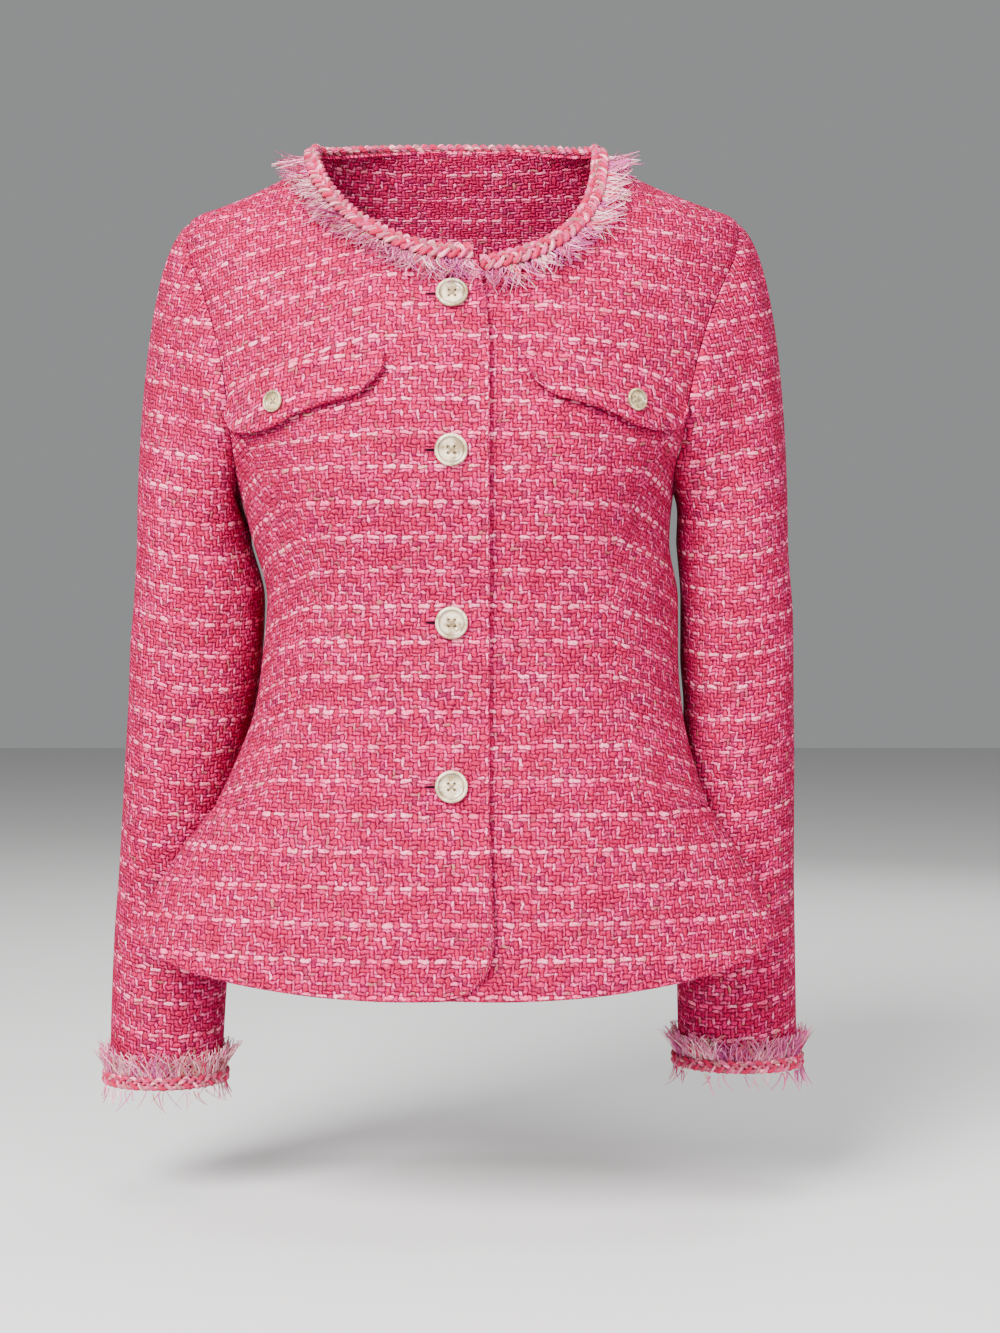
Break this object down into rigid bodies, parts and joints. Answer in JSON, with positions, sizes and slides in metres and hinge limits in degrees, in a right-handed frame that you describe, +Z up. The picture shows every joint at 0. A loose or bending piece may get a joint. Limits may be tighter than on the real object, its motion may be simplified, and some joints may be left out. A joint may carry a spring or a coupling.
{
  "type": "peplum jacket",
  "caption": "Short fitted tweed jacket with a flared peplum, long sleeves, chest flaps, buttoned front, and braid and fringe at neck and cuffs.",
  "frame": {"origin": "midway between the two points where the neckline meets the shoulder seams, at the neck opening by which the jacket is hung or worn", "axes": "+Z up from hem to neck, -Y out of the buttoned front, +X towards the wearer's left"},
  "size_m": [0.5097, 0.3083, 0.6774],
  "materials": {
    "tweed": "rough woven",
    "braid": "plaited",
    "fringe": "loose yarn",
    "pearl": "pearly"
  },
  "bodies": {
    "root": {"back": "tweed", "front_left": "tweed", "front_right": "tweed", "side_back_left": "tweed", "side_back_right": "tweed", "side_front_left": "tweed", "side_front_right": "tweed", "peplum_back": "tweed", "peplum_front_left": "tweed", "peplum_front_right": "tweed", "top_sleeve_left": "tweed", "top_sleeve_right": "tweed", "under_sleeve_left": "tweed", "under_sleeve_right": "tweed", "flap_left": "tweed", "flap_right": "tweed", "neck_braid": "braid", "cuff_braid_left": "braid", "cuff_braid_right": "braid", "neck_fringe": "fringe", "cuff_fringe_left": "fringe", "cuff_fringe_right": "fringe", "button_1": "pearl", "button_2": "pearl", "button_3": "pearl", "button_4": "pearl", "flap_button_left": "pearl", "flap_button_right": "pearl"}
  },
  "joints": []
}
